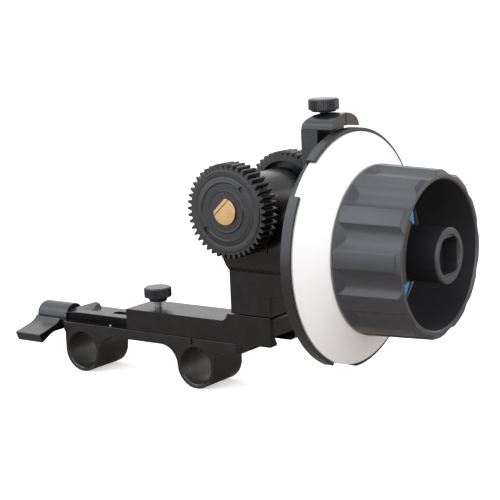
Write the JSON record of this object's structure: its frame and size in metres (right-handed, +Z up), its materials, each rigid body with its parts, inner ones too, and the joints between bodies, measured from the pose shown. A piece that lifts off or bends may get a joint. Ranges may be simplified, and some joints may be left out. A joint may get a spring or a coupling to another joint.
{
  "type": "lens follow focus",
  "caption": "Lens follow focus on a rod clamp: a fluted handwheel with a white marking disc drives a geared shaft on a sliding dovetail bridge.",
  "frame": {"origin": "midway between the two rod axes, at mid length of the rod clamp", "axes": "+X from the clamp lever towards the handwheel, along the bridge; +Y along the rods, towards the rear gear; +Z up"},
  "size_m": [0.1995, 0.0892, 0.1159],
  "materials": {
    "black_anodised": "satin black anodised",
    "black_polymer": "matte dark grey moulded",
    "white_polymer": "satin white, wipeable",
    "brass": "turned",
    "bright_steel": "bright",
    "black_steel": "blackened",
    "sintered_bronze": "sintered bronze, oiled",
    "grey_polymer": "matte grey",
    "blue_polymer": "satin blue"
  },
  "bodies": {
    "clamp": {"rod_clamp": "black_anodised", "rail_stop_pin": "bright_steel", "clamp_nut": "black_steel"},
    "lever": {"clamp_lever": "black_anodised", "clamp_stud": "bright_steel"},
    "carriage": {"bridge": "black_anodised", "neck_screw_left": "bright_steel", "neck_screw_right": "bright_steel", "gearbox": "black_anodised", "wheel_bush_inner": "sintered_bronze", "wheel_bush_outer": "sintered_bronze", "drive_bush_front": "sintered_bronze", "drive_bush_rear": "sintered_bronze", "index_arm": "black_anodised", "arm_screw_1": "bright_steel", "arm_screw_2": "bright_steel", "arm_screw_3": "bright_steel"},
    "bridge_thumbscrew": {"bridge_screw": "black_anodised"},
    "index_thumbscrew": {"index_screw": "black_anodised"},
    "wheel": {"wheel_shaft": "bright_steel", "disc_carrier": "black_anodised", "marking_disc": "white_polymer", "disc_retainer_long": "black_anodised", "disc_retainer_short": "black_anodised", "handwheel": "black_polymer", "crank_socket": "black_anodised", "socket_screw": "bright_steel", "rim_pad": "grey_polymer", "rim_accent_upper": "blue_polymer", "rim_accent_lower": "blue_polymer"},
    "drive": {"drive_shaft": "bright_steel", "drive_gear_front": "black_anodised", "drive_gear_rear": "black_anodised", "gear_screw_front": "brass", "gear_screw_rear": "brass"}
  },
  "joints": [
    {"name": "bridge_slide", "type": "slide", "parent": "clamp", "child": "carriage", "axis": [1, 0, 0], "range_m": [-0.0087, 0.024]},
    {"name": "clamp_lever_turn", "type": "hinge", "parent": "clamp", "child": "lever", "pos_m": [-0.0426, 0, 0.0114], "axis": [-1, 0, 0], "range_deg": [-20, 160]},
    {"name": "handwheel_spin", "type": "hinge", "parent": "carriage", "child": "wheel", "pos_m": [0.1097, 0, 0.05145], "axis": [1, 0, 0], "continuous": true},
    {"name": "drive_spin", "type": "hinge", "parent": "carriage", "child": "drive", "pos_m": [0.059, 0, 0.06625], "axis": [0, 1, 0], "continuous": true},
    {"name": "bridge_screw_turn", "type": "hinge", "parent": "carriage", "child": "bridge_thumbscrew", "pos_m": [0.0048, 0, 0.0201], "axis": [0, 0, 1], "range_deg": [-30, 540]},
    {"name": "index_screw_turn", "type": "hinge", "parent": "carriage", "child": "index_thumbscrew", "pos_m": [0.0886, 0, 0.1016], "axis": [0, 0, 1], "range_deg": [-30, 540]}
  ],
  "couplings": [
    {"joint": "drive_spin", "follows": "handwheel_spin", "ratio": 1}
  ]
}
